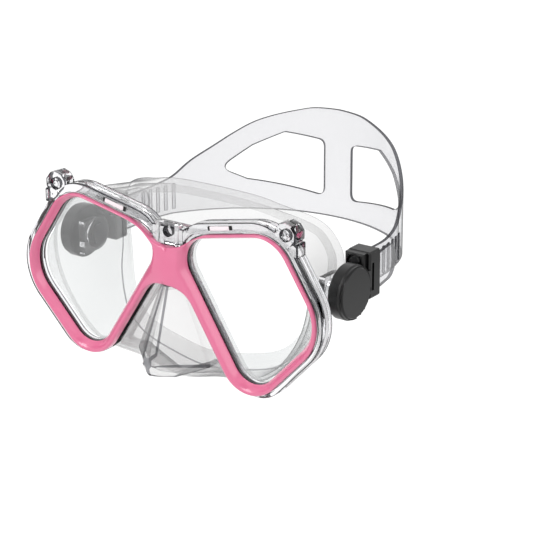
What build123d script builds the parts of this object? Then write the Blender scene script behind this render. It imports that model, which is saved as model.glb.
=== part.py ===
from build123d import *
import math
import os

os.makedirs("parts", exist_ok=True)

# Snorkel mask. Sizes are in mm. +X is the wearer's left, -Y is forwards and +Z is up.
# The origin is the middle of the face seal at eye height.
# Outlines are drawn for the wearer's left side and mirrored.

# Lens opening: corners as (x, z), from the nose over the temple and the cheek to the bottom.
LENS_CORNERS = [(2.3, 10.9), (56.9, 22.1), (81.5, -15.8), (43.9, -55.5)]
LENS_RADII = [11.5, 15.3, 19.0, 11.8]

# How far each piece goes past the lens opening: top, temple, cheek and nose sides.
BEZEL_RIM = [2.4, 3.0, 4.1, 4.9]
FRAME_RIM = [7.3, 6.2, 6.5, 4.5]
GLASS_LAP = 1.5
FIT = 0.3

# A length well beyond the part, for cuts.
FAR = 200.0

# Depths, counted from the front of the bezel towards the face.
FRONT_Y = -46.0
BEZEL_T = 4.0
GLASS_T = 3.2
FRAME_T = 6.5
BORDER_H = 2.5
GLASS_FRONT = FRONT_Y + BEZEL_T
GLASS_BACK = GLASS_FRONT + GLASS_T
FRAME_BACK = GLASS_FRONT + FRAME_T

# Nose bridge of the bezel.
BRIDGE_TOP = 7.1
BRIDGE_ARCH = -9.4
BRIDGE_BULGE = 2.2
BRIDGE_HALF = 14.0
BRIDGE_SHOULDER = 13.0
BRIDGE_CREST = 6.0
BRIDGE_DROP = 6.0
BRIDGE_BROW = 3.0
BEZEL_STEP = 0.6
BEZEL_SLOPE = 18.0

# Clear block between the rims and the horns at the temples.
BLOCK_HALF = 9.0
BLOCK_TOP = 17.5
BLOCK_LIFT = 4.0
HORN_R = 6.0
HORN_OUT = 4.3
HORN_DOWN = 5.0
HORN_INSET = 1.5

# Snap tabs of the bezel, in windows of the frame.
TAB_L = 10.0
TAB_H = 2.0
TAB_ROOT = 0.5
TAB_DEPTH = 3.0
TAB_STEP = 2.0
BROW_TAB_AT = 0.5
CHEEK_TAB_AT = 0.55

# Skirt: half outlines from the front as (x, z), each at its depth y, and the edge that meets
# the face. The first outline lies on the back of the frame.
SKIRT_T = 2.0
SKIRT_FRONT = [
    (0, 15.0), (20, 17.5), (42, 21.5), (58, 20.5), (69, 8), (72, -9), (67, -26), (54, -43),
    (41, -50.5), (22, -52.5), (0, -57.0)]
SKIRT_MIDDLE = [
    (0, 22.0), (20, 22.5), (38, 23.5), (52, 20.5), (61, 13), (64.6, 2), (64.6, -10), (61.5, -26),
    (53, -42.5), (40.5, -51), (20, -55.5), (0, -58.5)]
SKIRT_FOLD = [
    (0, 26.0), (20, 25.2), (35, 23.2), (48, 20.0), (57, 14.5), (61.8, 4), (62.2, -9), (60, -26),
    (51.5, -42), (40, -51), (20, -56.5), (0, -59.0)]
SKIRT_EDGE = [
    (0, 27.0), (20, 26.5), (38, 24.5), (50, 20.5), (58, 13.5), (62.6, 3), (62.4, -9), (59, -26),
    (50, -42), (38, -50.5), (20, -56), (0, -58.5)]
MIDDLE_Y = -22.0
FOLD_Y = -12.0
EDGE_Y = 4.0
SEAL_SIDE = 61.5
SEAL_TEMPLE = 3.5
SEAL_BROW = -8.0
SEAL_CHEEK_Z = -15.0
SEAL_LIP = -16.0
SEAL_WIDTH = 7.0

# Nose pocket: a web between the rims, and a prow in front of it with a keel below.
WEB_Y = -40.0
WEB_TOP = -7.0
WEB_LOW = -47.3
NOSE_CLEAR = 0.8
PROW_Y = -59.5
PROW_TOP = -10.8
PROW_ROOT = [(0.3, 4.1), (20.8, -46.7), (0, -56.5)]
PROW_TIP = [(3.7, -38.6), (3.9, -44.5), (0, -50.5)]
PROW_EDGE = 1.6

# Pivot of the buckles: an axis along X.
PIVOT_Y = -11.0
PIVOT_Z = -8.0
PIVOT_R = 3.0
RUN_FIT = 0.05
HEAD_R = 5.0
HEAD_T = 1.8
ARM_IN = 65.5
ARM_T = 3.0
ARM_R = 8.0
ARM_START = 77.5
ARM_ROOT = 3.0
ARM_EASE = 2.0
ARM_BEND = 1.0
CLIP_T = 1.0
CLIP_R = 4.6

# Swivel disc of the buckle.
DISC_R = 12.7
DISC_T = 5.8
COLLAR_R = 5.4
COLLAR_L = 2.7
COUNTERBORE = 3.0
CAP_R = 11.6
CAP_T = 1.5
CAP_DISH = 0.5
CAP_EDGE = 0.5
DISC_EDGE = 0.6
GRIP_R = 1.6
GRIP_COUNT = 5
GRIP_START = -78
GRIP_STEP = 17
GRIP_FROM = 2.0

# Strap and the box and roller that hold its ends.
STRAP_T = 1.8
STRAP_H = 16.5
STRAP_Z = -5.0
STRAP_GAP = 0.3
STRAP_SIDE_PLAY = 0.5
ROLLER_R = 2.0
ROLLER_PIN_R = 0.95
PIN_COVER = 1.0
ROLLER_Y = 8.0
BOX_WALL = 1.7
BOX_CAP = 2.9
BOX_SET = 0.5
BOX_BACK = 10.8
BOX_EDGE = 0.8
SLOT_W = 1.6
SLOT_L = 13.0
WEB_INSET = 3.0

# Release button, in a round recess in the front of its housing.
BUTTON_X = 70.6
BUTTON_Z = 2.2
BUTTON_R = 3.0
BUTTON_L = 2.1
BUTTON_TRAVEL = 1.5
BUTTON_INSET = 0.4
BUTTON_EDGE = 0.6
RECESS_R = 3.7
RECESS_DEPTH = 1.1
RECESS_RUN = 2.5
HOUSING_DEPTH = 3.3
HOUSING_WALL = 1.2
HOUSING_DROP = 0.4
SPRING_ROOM = 0.3

# Strap loop round the head.
LOOP_START = 20.0
LOOP_DEPTH = 73.0
LOOP_SPLIT = 45.0
LOOP_TOP = 38.3
LOOP_SHOULDERS = [(32.6, 32.3), (54.6, 17.8)]
LOOP_BOTTOM = -16.6
TAIL_END = 31.0
TAIL_GAP = 0.6
WINDOW = [(8.0, 21.6), (27.5, 24.0), (41.0, 17.0), (52.4, 6.3), (43.0, 0.0), (8.0, -6.6)]
WINDOW_RADIUS = 2.2

# Places worked out from the sizes above, for the wearer's left side.
DISC_IN = ARM_IN + ARM_T + STRAP_GAP + COLLAR_L
DISC_OUT = DISC_IN + DISC_T
CLIP_X = DISC_OUT - COUNTERBORE + STRAP_GAP
BOX_IN = ARM_IN - BOX_SET
BOX_H = STRAP_H + 2 * STRAP_SIDE_PLAY + 2 * BOX_WALL
BOX_FRONT = ROLLER_Y - ROLLER_R - 2 * STRAP_GAP - STRAP_T - BOX_WALL
RUN_X = BOX_IN + BOX_WALL + STRAP_GAP + STRAP_T / 2
ROLLER_X = RUN_X + STRAP_T / 2 + STRAP_GAP + ROLLER_R
BOX_OUT = 2 * ROLLER_X - BOX_IN
PIN_L = BOX_H - PIN_COVER
SKIRT_SECTIONS = [
    (FRAME_BACK, SKIRT_FRONT), (MIDDLE_Y, SKIRT_MIDDLE), (FOLD_Y, SKIRT_FOLD), (EDGE_Y, SKIRT_EDGE)]
SKIRT_LIP = SKIRT_FOLD[-1][1]
BOX_TOP = STRAP_Z + STRAP_H / 2 + STRAP_SIDE_PLAY + BOX_CAP
BUTTON_FRONT = BOX_FRONT - HOUSING_DEPTH
BUTTON_HOLE = BUTTON_INSET + BUTTON_L + BUTTON_TRAVEL + SPRING_ROOM
LOOP_SIDE = RUN_X * math.sqrt(1 - ((LOOP_SPLIT - LOOP_START) / LOOP_DEPTH) ** 2)
STRAP_LOW = STRAP_Z - STRAP_H / 2
STRAP_HIGH = STRAP_Z + STRAP_H / 2


def grown(corners, margins):
    """Move each side of a clockwise outline outwards by its own margin."""
    count = len(corners)
    lines = []
    for i in range(count):
        (x0, z0), (x1, z1) = corners[i], corners[(i + 1) % count]
        length = math.hypot(x1 - x0, z1 - z0)
        nx, nz = -(z1 - z0) / length, (x1 - x0) / length
        lines.append((nx, nz, nx * x0 + nz * z0 + margins[i]))
    moved = []
    for i in range(count):
        (a, b, c), (d, e, f) = lines[i - 1], lines[i]
        det = a * e - b * d
        moved.append(((c * e - b * f) / det, (a * f - c * d) / det))
    return moved


def rounded(corners, radii):
    return make_face(FilletPolyline(*corners, radius=radii, close=True))


def lens_shape(margins):
    """The lens outline with each side moved out by its margin."""
    radii = [r + (margins[i - 1] + margins[i]) / 2 for i, r in enumerate(LENS_RADII)]
    return rounded(grown(LENS_CORNERS, margins), radii)


def both(shape):
    return shape + mirror(shape, about=Plane.YZ)


def slab(face, front, back):
    """A face drawn in x and z, given depth along Y."""
    return extrude(Plane.XZ.offset(-back) * face, amount=back - front)


def upright(face, low, high):
    """A face drawn in x and y, given height along Z."""
    return extrude(Plane.XY.offset(low) * face, amount=high - low)


def sideways(face, inner, outer):
    """A face drawn in y and z, given width along X."""
    return extrude(Plane.YZ.offset(inner) * face, amount=outer - inner)


def rod(radius, y, z, inner, outer):
    return sideways(Pos(y, z) * Circle(radius), inner, outer)


def box(x0, x1, y0, y1, z0, z1):
    centre = Pos((x0 + x1) / 2, (y0 + y1) / 2, (z0 + z1) / 2)
    return centre * Box(x1 - x0, y1 - y0, z1 - z0)


def save(shape, node):
    export_step(shape, f"parts/{node}.step")


def save_pair(shape, node):
    """The wearer's left piece, and its mirror image for the right."""
    save(shape, f"{node}_left")
    save(mirror(shape, about=Plane.YZ), f"{node}_right")


def even(margin):
    return [margin] * len(LENS_CORNERS)


def bridge_face(grow):
    """Nose bridge between the two rims, drawn in x and z."""
    half, top, arch = BRIDGE_HALF, BRIDGE_TOP + grow, BRIDGE_ARCH - grow
    shoulder = BRIDGE_SHOULDER + grow
    foot = arch - BRIDGE_DROP
    upper = ThreePointArc((-half, shoulder), (0, top), (half, shoulder))
    lower = ThreePointArc((half, foot), (0, arch), (-half, foot))
    sides = [Line((half, shoulder), (half, foot)), Line((-half, foot), (-half, shoulder))]
    return make_face([upper, lower] + sides)


def tab(side, along, clearance):
    """Snap tab on one side of the bezel, drawn in x and z. Side 0 is the brow and 2 the cheek."""
    margin = BEZEL_RIM[side] + TAB_H / 2 - TAB_ROOT
    (x0, z0), (x1, z1) = grown(LENS_CORNERS, even(margin))[side:side + 2]
    turn = math.degrees(math.atan2(z1 - z0, x1 - x0))
    place = Pos(x0 + (x1 - x0) * along, z0 + (z1 - z0) * along) * Rot(0, 0, turn)
    return place * Rectangle(TAB_L + 2 * clearance, TAB_H + 2 * clearance)


def tabs(clearance):
    return both(tab(0, BROW_TAB_AT, clearance) + tab(2, CHEEK_TAB_AT, clearance))


def front_bezel():
    """Both rims and the nose bridge, with openings that slope in to the lenses and snap tabs."""
    def plan(step):
        return both(lens_shape([m - step for m in BEZEL_RIM])) + bridge_face(-step)

    top_y, root, low = FRONT_Y - BRIDGE_BULGE, FRONT_Y + BEZEL_STEP, BRIDGE_ARCH - BRIDGE_BROW
    wedge = Polyline(
        (FRONT_Y, BRIDGE_TOP), (top_y, BRIDGE_ARCH), (top_y, low), (root, low),
        (root, BRIDGE_TOP), close=True)
    nose = slab(bridge_face(-BEZEL_STEP), top_y, root)
    nose = nose & sideways(make_face(wedge), -BRIDGE_CREST, BRIDGE_CREST)
    body = slab(plan(0), root, GLASS_FRONT) + slab(plan(BEZEL_STEP), FRONT_Y, root) + nose
    window = Plane.XZ.offset(-GLASS_FRONT) * lens_shape(even(0))
    opening = extrude(window, amount=BEZEL_T + BRIDGE_BULGE, taper=-BEZEL_SLOPE)
    body -= both(opening)
    return body + slab(tabs(0), FRONT_Y + TAB_STEP, GLASS_FRONT + TAB_DEPTH)


def lens():
    return slab(lens_shape(even(GLASS_LAP)), GLASS_FRONT, GLASS_BACK)


def arm():
    """Side arm of the frame: a lug carries its root, and it ends in an eye round the pivot."""
    outer = ARM_IN + ARM_T
    root = FRAME_BACK - ARM_ROOT
    turn = PIVOT_Y - ARM_R - ARM_EASE
    plan = Polyline(
        (ARM_START + ARM_T + ARM_BEND, root), (outer, turn), (outer, PIVOT_Y + ARM_R),
        (ARM_IN, PIVOT_Y + ARM_R), (ARM_IN, turn - ARM_BEND), (ARM_START, root), close=True)
    side = Pos((root + PIVOT_Y) / 2, PIVOT_Z) * Rectangle(PIVOT_Y - root, 2 * ARM_R)
    side += Pos(PIVOT_Y, PIVOT_Z) * Circle(ARM_R)
    blade = upright(make_face(plan), PIVOT_Z - ARM_R, PIVOT_Z + ARM_R)
    blade = (blade & sideways(side, 0, FAR)) - rod(PIVOT_R, PIVOT_Y, PIVOT_Z, 0, FAR)
    lug = Pos((ARM_IN + ARM_START) / 2, PIVOT_Z) * Rectangle(ARM_START - ARM_IN, 2 * ARM_R)
    return blade + slab(lug, root, FRAME_BACK)


def frame():
    """Clear main frame: lens pockets, raised border, horns, centre block and side arms."""
    outline = both(lens_shape(FRAME_RIM))
    low = BRIDGE_ARCH + BLOCK_LIFT
    outline += Pos(0, (BLOCK_TOP + low) / 2) * Rectangle(2 * BLOCK_HALF, BLOCK_TOP - low)
    seat = both(lens_shape([m + FIT for m in BEZEL_RIM])) + bridge_face(FIT)
    temple_x, temple_z = grown(LENS_CORNERS, FRAME_RIM)[1]
    horn = Pos(temple_x + HORN_OUT, temple_z - HORN_DOWN) * Circle(HORN_R)
    arms = arm()
    body = slab(outline, GLASS_FRONT - BORDER_H, FRAME_BACK) + arms + mirror(arms, about=Plane.YZ)
    body += slab(both(horn), GLASS_FRONT - BORDER_H, FRAME_BACK - HORN_INSET)
    body -= slab(seat, FRONT_Y, GLASS_FRONT)
    body -= slab(both(lens_shape(even(GLASS_LAP + FIT))), GLASS_FRONT, GLASS_BACK)
    body -= slab(both(lens_shape(even(0))), GLASS_BACK, FRAME_BACK)
    return body - slab(tabs(FIT), FRONT_Y, GLASS_FRONT + TAB_DEPTH + FIT)


def mirrored(points):
    """A half outline on the wearer's left, followed by its mirror image."""
    return points + [(-x, other) for x, other in reversed(points) if x > 0]


def skirt_outline(half, inset):
    """Smooth closed outline through points in x and z. The inset moves each point inwards."""
    points = mirrored(half)
    count = len(points)
    moved = []
    for i, (x, z) in enumerate(points):
        (x0, z0), (x1, z1) = points[i - 1], points[(i + 1) % count]
        length = math.hypot(x1 - x0, z1 - z0)
        moved.append((x + inset * (z1 - z0) / length, z - inset * (x1 - x0) / length))
    return make_face(Spline(*moved, periodic=True))


def chamber(inset):
    """Face chamber of the skirt before its seal is cut. The inset gives its hollow."""
    front = FRAME_BACK + inset
    sections = [Plane.XZ.offset(-y) * skirt_outline(half, inset) for y, half in SKIRT_SECTIONS]
    return loft(sections) & slab(Rectangle(FAR, FAR), front, FAR)


def face_shape():
    """What the wearer's face takes away: a curve across the brow, and a slope down to the lip."""
    brow = ThreePointArc((-SEAL_SIDE, SEAL_TEMPLE), (0, SEAL_BROW), (SEAL_SIDE, SEAL_TEMPLE))
    behind = Polyline(
        (SEAL_SIDE, SEAL_TEMPLE), (FAR, SEAL_TEMPLE), (FAR, FAR), (-FAR, FAR),
        (-FAR, SEAL_TEMPLE), (-SEAL_SIDE, SEAL_TEMPLE))
    slope = (SEAL_TEMPLE - SEAL_LIP) / (SEAL_CHEEK_Z - SKIRT_LIP)
    low = SKIRT_LIP - SKIRT_T
    chin = Polyline(
        (SEAL_TEMPLE, SEAL_CHEEK_Z), (SEAL_LIP - SKIRT_T * slope, low), (FAR, low), close=True)
    head = upright(make_face([brow] + behind.edges()), low, FAR)
    return head + sideways(make_face(chin), -FAR, FAR)


def nose_body(inset):
    """Nose pocket: a web between the rims, and a prow that runs forwards through them."""
    back = FRAME_BACK + SKIRT_T
    (bottom_x, bottom_z), (top_x, top_z) = [grown(LENS_CORNERS, FRAME_RIM)[i] for i in (3, 0)]
    slope = (bottom_x - top_x) / (bottom_z - top_z)
    levels = [WEB_TOP - inset, WEB_LOW + inset]
    gap = [(top_x + slope * (z - top_z) - NOSE_CLEAR - inset, z) for z in levels]
    web = slab(make_face(Polyline(*mirrored(gap), close=True)), WEB_Y + inset, back)

    def section(half, y):
        face = make_face(Polyline(*mirrored(half), close=True))
        return Plane.XZ.offset(-y) * offset(face, -inset, kind=Kind.INTERSECTION)

    root = section(PROW_ROOT, WEB_Y)
    prow = loft([root, section(PROW_TIP, PROW_Y + inset)], ruled=True)
    if inset == 0:
        prow = fillet(prow.faces().sort_by(Axis.Y)[0].edges(), PROW_EDGE)
    prow += extrude(root, amount=WEB_Y - back)
    return (prow & upright(Rectangle(FAR, FAR), -FAR, PROW_TOP - inset)) + web


def skirt():
    """Silicone skirt: face chamber with its seal, nose pocket and a window behind each lens."""
    head = face_shape()
    hollow = chamber(SKIRT_T) - Pos(0, -SKIRT_T, 0) * head
    shell = (chamber(0) - head) + nose_body(0) - hollow - nose_body(SKIRT_T)
    windows = slab(both(lens_shape(even(0))), FRAME_BACK, FRAME_BACK + SKIRT_T)
    opening = slab(skirt_outline(SKIRT_EDGE, SEAL_WIDTH), FRAME_BACK + 2 * SKIRT_T, FAR)
    return shell - windows - opening


def pivot_post():
    """Pivot pin of a buckle, with its head between the skirt and the arm."""
    head = rod(HEAD_R, PIVOT_Y, PIVOT_Z, ARM_IN - HEAD_T, ARM_IN)
    return head + rod(PIVOT_R, PIVOT_Y, PIVOT_Z, ARM_IN, CLIP_X + CLIP_T)


def retaining_clip():
    ring = rod(CLIP_R, PIVOT_Y, PIVOT_Z, CLIP_X, CLIP_X + CLIP_T)
    return ring - rod(PIVOT_R, PIVOT_Y, PIVOT_Z, CLIP_X, CLIP_X + CLIP_T)


def grips():
    """Finger notches along the lower rear edge of the disc, drawn in y and z."""
    notches = []
    for i in range(GRIP_COUNT):
        turn = math.radians(GRIP_START + GRIP_STEP * i)
        y, z = PIVOT_Y + DISC_R * math.cos(turn), PIVOT_Z + DISC_R * math.sin(turn)
        notches.append(Pos(y, z) * Circle(GRIP_R))
    return Sketch() + notches


def swivel_disc():
    disc = chamfer(rod(DISC_R, PIVOT_Y, PIVOT_Z, DISC_IN, DISC_OUT).edges(), DISC_EDGE)
    rim = Pos(PIVOT_Y, PIVOT_Z) * (Circle(DISC_R - DISC_EDGE) - Circle(CAP_R + FIT))
    disc += sideways(rim, DISC_OUT, DISC_OUT + CAP_T - CAP_DISH)
    return disc + rod(COLLAR_R, PIVOT_Y, PIVOT_Z, DISC_IN - COLLAR_L, DISC_IN)


def strap_box():
    """Box round the roller, open behind for the strap, with a slot in its outer wall."""
    half, inner = BOX_H / 2, BOX_H / 2 - BOX_WALL
    front = BOX_FRONT + BOX_WALL
    shell = box(BOX_IN, BOX_OUT, BOX_FRONT, BOX_BACK, STRAP_Z - half, BOX_TOP)
    shell = chamfer(shell.edges(), BOX_EDGE)
    shell -= box(BOX_IN + BOX_WALL, BOX_OUT - BOX_WALL, front, BOX_BACK, STRAP_Z - inner, STRAP_Z + inner)
    slot = SLOT_L / 2
    return shell - box(ROLLER_X, BOX_OUT, front, front + SLOT_W, STRAP_Z - slot, STRAP_Z + slot)


def button_rod(radius, front, back):
    """Cylinder on the axis of the release button."""
    return slab(Pos(BUTTON_X, BUTTON_Z) * Circle(radius), front, back)


def button_housing():
    reach = RECESS_R + HOUSING_WALL
    low, high = BUTTON_Z - reach, BOX_TOP - HOUSING_DROP
    block = box(BUTTON_X - reach, BUTTON_X + reach, BUTTON_FRONT, BOX_FRONT + BOX_EDGE, low, high)
    return chamfer(block.edges().group_by(Axis.Y)[0], BOX_EDGE)


def buckle_body():
    """Swivel disc and collar, button housing and strap box, in one moulding."""
    low = STRAP_Z - BOX_H / 2 + WEB_INSET
    web = box(DISC_IN, DISC_OUT, PIVOT_Y, BOX_FRONT + BOX_EDGE, low, BUTTON_Z - RECESS_R)
    body = swivel_disc() + strap_box() + web + button_housing()
    body -= Pos(ROLLER_X, ROLLER_Y, STRAP_Z) * Cylinder(ROLLER_PIN_R, PIN_L)
    body -= rod(PIVOT_R + RUN_FIT, PIVOT_Y, PIVOT_Z, DISC_IN - COLLAR_L, DISC_OUT)
    body -= rod(CLIP_R + 2 * FIT, PIVOT_Y, PIVOT_Z, DISC_OUT - COUNTERBORE, DISC_OUT)
    body -= button_rod(RECESS_R, BUTTON_FRONT - RECESS_RUN, BUTTON_FRONT + RECESS_DEPTH)
    body -= button_rod(BUTTON_R + RUN_FIT, BUTTON_FRONT, BUTTON_FRONT + BUTTON_HOLE)
    return body - sideways(grips(), DISC_IN + GRIP_FROM, BOX_OUT + CAP_T)


def face_cap():
    cap = rod(CAP_R, PIVOT_Y, PIVOT_Z, DISC_OUT, DISC_OUT + CAP_T)
    return chamfer(cap.edges().group_by(Axis.X)[-1], CAP_EDGE)


def strap_roller():
    length = BOX_H - 2 * BOX_WALL - 2 * STRAP_GAP
    place = Pos(ROLLER_X, ROLLER_Y, STRAP_Z)
    return place * (Cylinder(ROLLER_R, length) - Cylinder(ROLLER_PIN_R + RUN_FIT, length))


def roller_pin():
    return Pos(ROLLER_X, ROLLER_Y, STRAP_Z) * Cylinder(ROLLER_PIN_R, PIN_L)


def release_button():
    front = BUTTON_FRONT + BUTTON_INSET
    button = button_rod(BUTTON_R, front, front + BUTTON_L)
    return chamfer(button.edges().group_by(Axis.Y)[0], BUTTON_EDGE)


def strap_plan():
    """The strap seen from above: head loop, then a straight run and a fold round a roller."""
    outer, inner = STRAP_T / 2, -STRAP_T / 2
    loop = [Ellipse(RUN_X + side, LOOP_DEPTH + side) for side in (outer, inner)]
    half_plane = Pos(0, LOOP_START + FAR / 2) * Rectangle(FAR, FAR)
    plan = Pos(0, LOOP_START) * (loop[0] - loop[1]) & half_plane
    plan += Pos(RUN_X, (ROLLER_Y + LOOP_START) / 2) * Rectangle(STRAP_T, LOOP_START - ROLLER_Y)
    fold_r = ROLLER_R + STRAP_GAP
    fold = Circle(fold_r + STRAP_T) - Circle(fold_r)
    return plan + Pos(ROLLER_X, ROLLER_Y) * (fold & Pos(0, -FAR / 2) * Rectangle(FAR, FAR))


def strap_tail():
    """Free end of the strap, leaning in towards the loop, drawn in x and y."""
    inner = 2 * ROLLER_X - RUN_X - STRAP_T / 2
    end = RUN_X + STRAP_T / 2 + TAIL_GAP
    turn = BOX_BACK + TAIL_GAP
    return make_face(Polyline(
        (inner, ROLLER_Y), (inner, turn), (end, TAIL_END), (end + STRAP_T, TAIL_END),
        (inner + STRAP_T, turn), (inner + STRAP_T, ROLLER_Y), close=True))


def loop_face():
    """Back of the strap seen from behind: two bands round a pair of windows."""
    corner_low, corner_high = (LOOP_SIDE, STRAP_LOW), (LOOP_SIDE, STRAP_HIGH)
    points = [(0, LOOP_TOP)] + LOOP_SHOULDERS + [corner_high]
    top = Spline(*[(-x, z) for x, z in reversed(points[1:])], *points)
    bottom = ThreePointArc(corner_low, (0, LOOP_BOTTOM), (-LOOP_SIDE, STRAP_LOW))
    ends = [Line(corner_high, corner_low), Line((-LOOP_SIDE, STRAP_LOW), (-LOOP_SIDE, STRAP_HIGH))]
    return make_face([top, bottom] + ends) - both(rounded(WINDOW, [WINDOW_RADIUS] * len(WINDOW)))


def strap():
    plan = strap_plan()
    back = upright(plan, LOOP_BOTTOM, LOOP_TOP) & slab(loop_face(), LOOP_SPLIT, FAR)
    side = upright(plan, STRAP_LOW, STRAP_HIGH) & box(0, FAR, 0, LOOP_SPLIT, STRAP_LOW, STRAP_HIGH)
    side += upright(strap_tail(), STRAP_LOW, STRAP_HIGH)
    return back + side + mirror(side, about=Plane.YZ)


save(frame(), "frame")
save(front_bezel(), "front_bezel")
save_pair(lens(), "lens")
save(skirt(), "skirt")
save_pair(pivot_post(), "pivot_post")
save_pair(retaining_clip(), "retaining_clip")
save_pair(buckle_body(), "buckle_body")
save_pair(face_cap(), "face_cap")
save_pair(strap_roller(), "strap_roller")
save_pair(roller_pin(), "roller_pin")
save_pair(release_button(), "release_button")
save(strap(), "strap")
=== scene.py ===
import math

import bmesh
import bpy
import numpy as np
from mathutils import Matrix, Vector


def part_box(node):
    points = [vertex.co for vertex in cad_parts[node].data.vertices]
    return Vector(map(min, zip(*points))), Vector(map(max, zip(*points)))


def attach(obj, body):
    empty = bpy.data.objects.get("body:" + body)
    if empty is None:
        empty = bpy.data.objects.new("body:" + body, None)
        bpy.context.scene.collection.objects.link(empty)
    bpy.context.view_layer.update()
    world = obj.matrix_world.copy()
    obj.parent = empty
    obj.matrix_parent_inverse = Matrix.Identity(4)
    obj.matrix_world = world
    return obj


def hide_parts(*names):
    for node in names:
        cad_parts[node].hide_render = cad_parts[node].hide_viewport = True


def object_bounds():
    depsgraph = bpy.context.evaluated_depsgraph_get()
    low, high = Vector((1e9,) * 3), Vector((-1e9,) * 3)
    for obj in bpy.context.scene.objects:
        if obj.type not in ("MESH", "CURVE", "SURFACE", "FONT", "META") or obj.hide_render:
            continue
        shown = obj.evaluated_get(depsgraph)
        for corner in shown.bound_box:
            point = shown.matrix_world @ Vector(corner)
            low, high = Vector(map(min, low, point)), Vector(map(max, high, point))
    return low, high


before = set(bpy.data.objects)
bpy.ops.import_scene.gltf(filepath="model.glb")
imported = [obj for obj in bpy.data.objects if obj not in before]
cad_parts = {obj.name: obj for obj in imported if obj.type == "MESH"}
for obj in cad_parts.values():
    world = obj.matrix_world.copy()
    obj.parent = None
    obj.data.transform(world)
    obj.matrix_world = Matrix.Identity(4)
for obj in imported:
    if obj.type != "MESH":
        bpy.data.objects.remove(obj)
cadBox = [list(corner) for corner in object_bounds()]
mm = 0.001
tiny = 1e-6
fineWeld = 0.005  # mm, for plates whose bevels are small


def report(text):
    print("scene:", text)


def leaveEdit():
    bpy.ops.object.mode_set(mode="OBJECT")


def deselectAll():
    if bpy.context.object and bpy.context.object.mode != "OBJECT":
        leaveEdit()
    bpy.ops.object.select_all(action="DESELECT")


def makeActive(piece):
    deselectAll()
    piece.select_set(True)
    bpy.context.view_layer.objects.active = piece


def editAll(piece, action="SELECT"):
    makeActive(piece)
    bpy.ops.object.mode_set(mode="EDIT")
    bpy.ops.mesh.select_all(action=action)


def applyModifier(piece, kind, **settings):
    makeActive(piece)
    modifier = piece.modifiers.new(kind.title(), kind)
    for name, value in settings.items():
        setattr(modifier, name, value)
    bpy.ops.object.modifier_apply(modifier=modifier.name)


def tidyMesh(piece, weld=0.02):
    editAll(piece)
    bpy.ops.mesh.remove_doubles(threshold=weld * mm)
    bpy.ops.mesh.select_all(action="SELECT")
    bpy.ops.mesh.normals_make_consistent(inside=False)
    leaveEdit()


def smoothByAngle(piece, degrees=40):
    makeActive(piece)
    bpy.ops.object.shade_smooth_by_angle(angle=math.radians(degrees))


def combine(piece, other, operation="UNION"):
    applyModifier(piece, "BOOLEAN", operation=operation, object=other, solver="EXACT")
    bpy.data.objects.remove(other)


def joinPieces(pieces, name):
    makeActive(pieces[0])
    for piece in pieces[1:]:
        piece.select_set(True)
    bpy.ops.object.join()
    pieces[0].name = pieces[0].data.name = name
    return pieces[0]


def mirroredCopy(piece, name):
    deselectAll()
    twin = piece.copy()
    twin.data = piece.data.copy()
    twin.name = twin.data.name = name
    bpy.context.collection.objects.link(twin)
    for vertex in twin.data.vertices:
        vertex.co.x = -vertex.co.x
    editAll(twin)
    bpy.ops.mesh.normals_make_consistent(inside=False)
    leaveEdit()
    return twin


def newPiece(name):
    piece = bpy.context.object
    piece.name = piece.data.name = name
    return piece


def block(name, low, high, bevel=0.0, segments=3):
    # box between two corners
    deselectAll()
    centre = [(a + b) / 2 * mm for a, b in zip(low, high)]
    bpy.ops.mesh.primitive_cube_add(size=1, location=centre)
    piece = newPiece(name)
    piece.scale = [(b - a) * mm for a, b in zip(low, high)]
    bpy.ops.object.transform_apply()
    if bevel:
        editAll(piece)
        bpy.ops.mesh.bevel(offset=bevel * mm, segments=segments, affect="EDGES")
        leaveEdit()
    return piece


def barrel(name, radius, start, end, vertices=48, bevel=0.0, segments=3):
    # round bar between two points, with a bevel on the rims of its caps
    deselectAll()
    start, end = Vector(start) * mm, Vector(end) * mm
    along = end - start
    turn = along.to_track_quat("Z", "Y").to_euler()
    bpy.ops.mesh.primitive_cylinder_add(
        vertices=vertices, radius=radius * mm, depth=along.length,
        location=(start + end) / 2, rotation=turn)
    piece = newPiece(name)
    bpy.ops.object.transform_apply()
    if bevel:
        editAll(piece, "DESELECT")
        mesh = bmesh.from_edit_mesh(piece.data)
        for edge in mesh.edges:
            faces = edge.link_faces
            if len(faces) == 2 and any(len(face.verts) > 4 for face in faces):
                edge.select_set(True)
        bmesh.update_edit_mesh(piece.data)
        bpy.ops.mesh.bevel(offset=bevel * mm, segments=segments, affect="EDGES")
        leaveEdit()
    return piece


def skinRings(name, rings):
    # surface over closed rings of points, each ring drawn out of the one before it
    deselectAll()
    bpy.ops.mesh.primitive_circle_add(vertices=len(rings[0]), radius=mm)
    piece = newPiece(name)
    bpy.ops.object.transform_apply()
    for vertex, point in zip(piece.data.vertices, rings[0]):
        vertex.co = Vector(point) * mm
    editAll(piece)
    current = list(range(len(rings[0])))
    for ring in rings[1:]:
        bpy.ops.mesh.extrude_edges_indiv()
        mesh = bmesh.from_edit_mesh(piece.data)
        mesh.verts.index_update()
        mesh.verts.ensure_lookup_table()
        following = []
        for index, point in zip(current, ring):
            old = mesh.verts[index]
            new = next(e.other_vert(old) for e in old.link_edges if e.other_vert(old).select)
            new.co = Vector(point) * mm
            following.append(new.index)
        current = following
        bmesh.update_edit_mesh(piece.data)
    leaveEdit()
    return piece


def toLinear(code):
    # sRGB code to linear light
    values = [int(code[i:i + 2], 16) / 255 for i in (0, 2, 4)]
    return [v / 12.92 if v <= 0.04045 else ((v + 0.055) / 1.055) ** 2.4 for v in values] + [1.0]


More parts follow.
